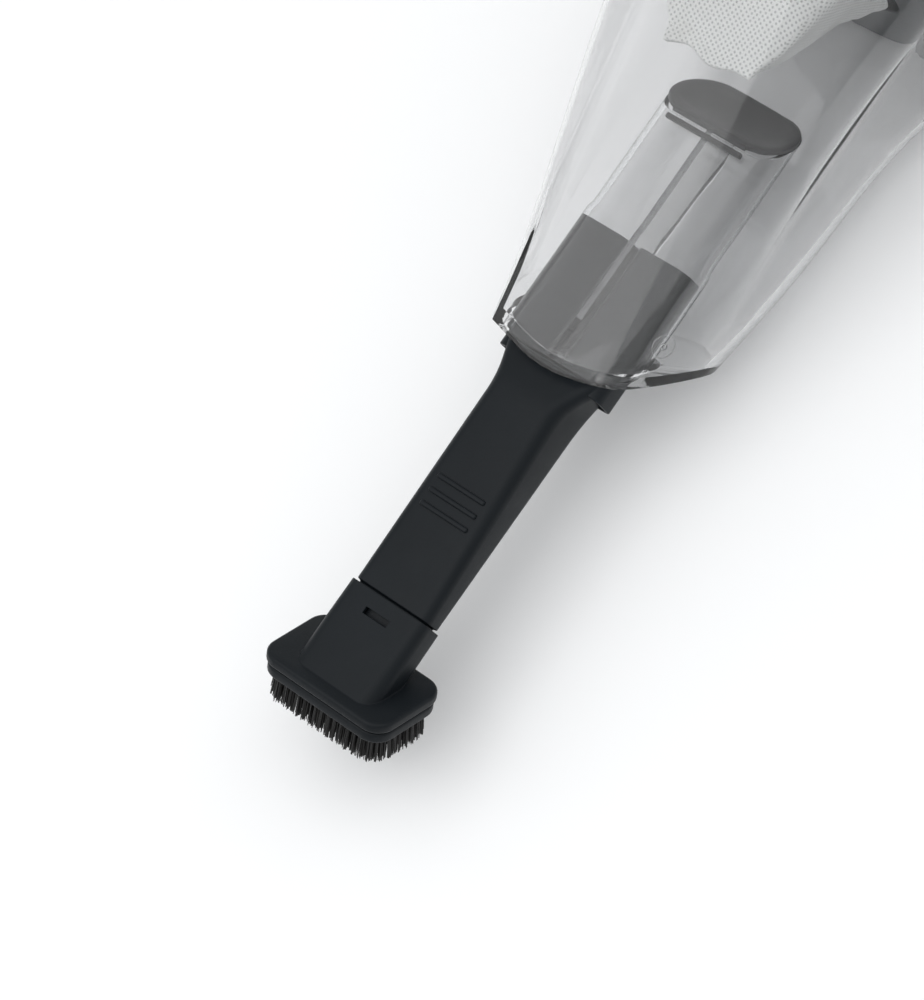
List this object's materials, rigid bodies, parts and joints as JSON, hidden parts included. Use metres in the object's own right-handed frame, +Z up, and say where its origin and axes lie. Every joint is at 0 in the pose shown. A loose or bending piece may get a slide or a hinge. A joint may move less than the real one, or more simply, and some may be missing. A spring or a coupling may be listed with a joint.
{
  "type": "handheld vacuum cleaner",
  "caption": "Cordless hand-held vacuum cleaner with a see-through dust bowl, inlet duct with flap, fabric filter, crevice nozzle and slip-on brush.",
  "frame": {"origin": "on the ground under the middle of the whole length, nozzle and brush fitted, lying on its four feet", "axes": "+X from the tail towards the nozzle and brush, +Y to the left hand side seen from behind, +Z up through the handle"},
  "size_m": [0.5034, 0.1, 0.1344],
  "materials": {
    "smoke_clear": "clear smoke-tinted moulded plastic, glossy",
    "duct_clear": "clear smoke-tinted moulded plastic, glossy",
    "flap_rubber": "dull dark grey rubber",
    "filter_fabric": "light grey woven fabric",
    "ink_plastic": "near-black blue-grey satin plastic",
    "bristle": "stiff black-brown bristles",
    "pearl_plastic": "pale pearl grey satin plastic",
    "charcoal_plastic": "charcoal satin plastic",
    "grip_rubber": "soft charcoal rubber",
    "steel": "plain steel",
    "brass": "sintered bronze and brass",
    "copper_winding": "varnished copper and steel laminations",
    "ferrite": "dark ferrite",
    "cell_wrap": "blue-green shrink wrap",
    "board_green": "green solder mask",
    "lens": "milky green light guide"
  },
  "bodies": {
    "motor_body": {"left_housing": "pearl_plastic", "right_housing": "pearl_plastic", "handle_grip": "grip_rubber", "release_spring": "steel", "release_spring_seat": "charcoal_plastic", "switch_block": "charcoal_plastic", "indicator_lens": "lens", "intake_grille": "charcoal_plastic", "fan_cover": "pearl_plastic", "fan_housing": "charcoal_plastic", "motor_can": "steel", "motor_end_cap": "charcoal_plastic", "magnet_upper": "ferrite", "magnet_lower": "ferrite", "front_bearing": "brass", "rear_bearing": "brass", "motor_mount_ring": "grip_rubber", "motor_terminal_left": "steel", "motor_terminal_right": "steel", "battery_cell_1": "cell_wrap", "battery_cell_2": "cell_wrap", "battery_cell_3": "cell_wrap", "battery_cell_4": "cell_wrap", "cell_holder_front": "charcoal_plastic", "cell_holder_rear": "charcoal_plastic", "cell_strap_front": "steel", "cell_strap_left": "steel", "cell_strap_right": "steel", "circuit_board": "board_green", "charge_socket": "charcoal_plastic", "charge_pin": "steel", "screw_1": "steel", "screw_2": "steel", "screw_3": "steel", "screw_4": "steel", "screw_5": "steel", "foot_1": "grip_rubber", "foot_2": "grip_rubber", "foot_3": "grip_rubber", "foot_4": "grip_rubber"},
    "rotor": {"fan_impeller": "pearl_plastic", "fan_nut": "brass", "motor_shaft": "steel", "motor_rotor": "copper_winding"},
    "bowl": {"dust_bowl": "smoke_clear", "inlet_duct": "duct_clear", "flap_hinge_bar": "flap_rubber"},
    "flap": {"flap_valve": "flap_rubber"},
    "filter": {"filter_bag": "filter_fabric", "filter_frame": "charcoal_plastic"},
    "nozzle": {"crevice_nozzle": "ink_plastic"},
    "brush": {"brush_collar": "ink_plastic", "bristle_plate": "ink_plastic", "bristle_ring": "bristle"},
    "release": {"release_button": "charcoal_plastic"},
    "switch": {"power_switch": "charcoal_plastic"}
  },
  "joints": [
    {"name": "bowl_pull", "type": "slide", "parent": "motor_body", "child": "bowl", "axis": [1, 0, 0], "range_m": [0, 0.14]},
    {"name": "filter_pull", "type": "slide", "parent": "motor_body", "child": "filter", "axis": [1, 0, 0], "range_m": [0, 0.07]},
    {"name": "flap_hinge", "type": "hinge", "parent": "bowl", "child": "flap", "pos_m": [0.05964, 0, 0.04254], "axis": [0, 1, 0], "range_deg": [0, 50]},
    {"name": "nozzle_pull", "type": "slide", "parent": "bowl", "child": "nozzle", "axis": [1, 0, 0], "range_m": [0, 0.05]},
    {"name": "brush_pull", "type": "slide", "parent": "nozzle", "child": "brush", "axis": [1, 0, 0], "range_m": [0, 0.03]},
    {"name": "release_press", "type": "slide", "parent": "motor_body", "child": "release", "axis": [-0.1961, 0, -0.9806], "range_m": [0, 0.003], "stiffness_N_per_m": 900, "springref_m": -0.0015, "deforming": ["release_spring"]},
    {"name": "switch_slide", "type": "slide", "parent": "motor_body", "child": "switch", "axis": [0.9929, 0, -0.1191], "range_m": [0, 0.008]},
    {"name": "fan_spin", "type": "hinge", "parent": "motor_body", "child": "rotor", "pos_m": [-0.05, 0, 0.044], "axis": [1, 0, 0], "continuous": true}
  ],
  "couplings": [
    {"joint": "filter_pull", "follows": "bowl_pull", "ratio": 0.5}
  ]
}
